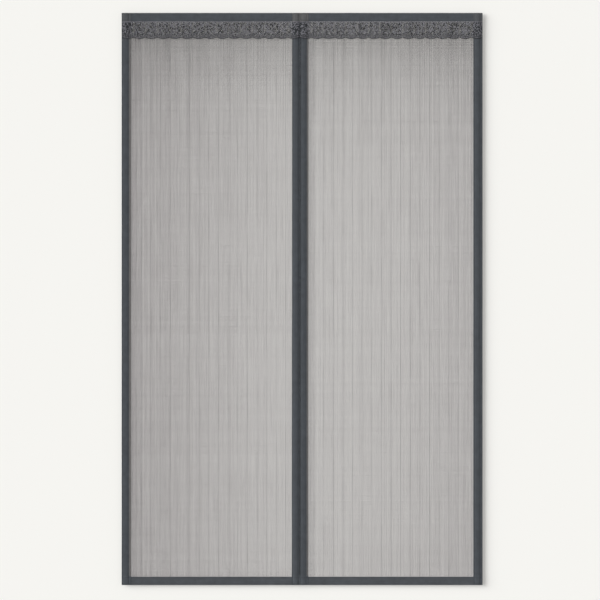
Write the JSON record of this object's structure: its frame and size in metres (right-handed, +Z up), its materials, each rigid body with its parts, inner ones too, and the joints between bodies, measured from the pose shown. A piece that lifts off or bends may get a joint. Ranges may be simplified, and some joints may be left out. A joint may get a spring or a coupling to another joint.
{
  "type": "magnetic insect screen",
  "caption": "Door insect screen of two mesh panels with folded tape bindings and a lace trim, closing on magnet strips.",
  "frame": {"origin": "middle of the back face of the top hook tape, the face that is stuck to the door frame", "axes": "+Z up, along the screen's height; +Y out of the back face, into the door frame; +X to the right as the screen is seen from its front"},
  "size_m": [1.325, 0.0091, 2.1],
  "materials": {
    "mesh_cloth": "matt woven polyester mesh, dark grey",
    "binding_tape": "matt woven tape, slate grey",
    "lace": "matt lace, slate grey",
    "magnet_rubber": "flexible magnet rubber, brown black",
    "steel": "plain steel strip",
    "loop_tape": "fuzzy loop pile, slate grey",
    "hook_tape": "moulded hooks on a self-adhesive tape"
  },
  "bodies": {
    "root": {"left_mesh_panel": "mesh_cloth", "right_mesh_panel": "mesh_cloth", "left_outer_binding": "binding_tape", "right_outer_binding": "binding_tape", "left_centre_binding": "binding_tape", "right_centre_binding": "binding_tape", "left_top_binding": "binding_tape", "right_top_binding": "binding_tape", "left_bottom_binding": "binding_tape", "right_bottom_binding": "binding_tape", "left_lace_trim": "lace", "right_lace_trim": "lace", "left_magnet_strip": "magnet_rubber", "right_magnet_strip": "magnet_rubber", "left_hem_weight": "steel", "right_hem_weight": "steel", "top_loop_tape": "loop_tape", "left_loop_tape": "loop_tape", "right_loop_tape": "loop_tape", "top_hook_tape": "hook_tape", "left_hook_tape": "hook_tape", "right_hook_tape": "hook_tape"}
  },
  "joints": []
}
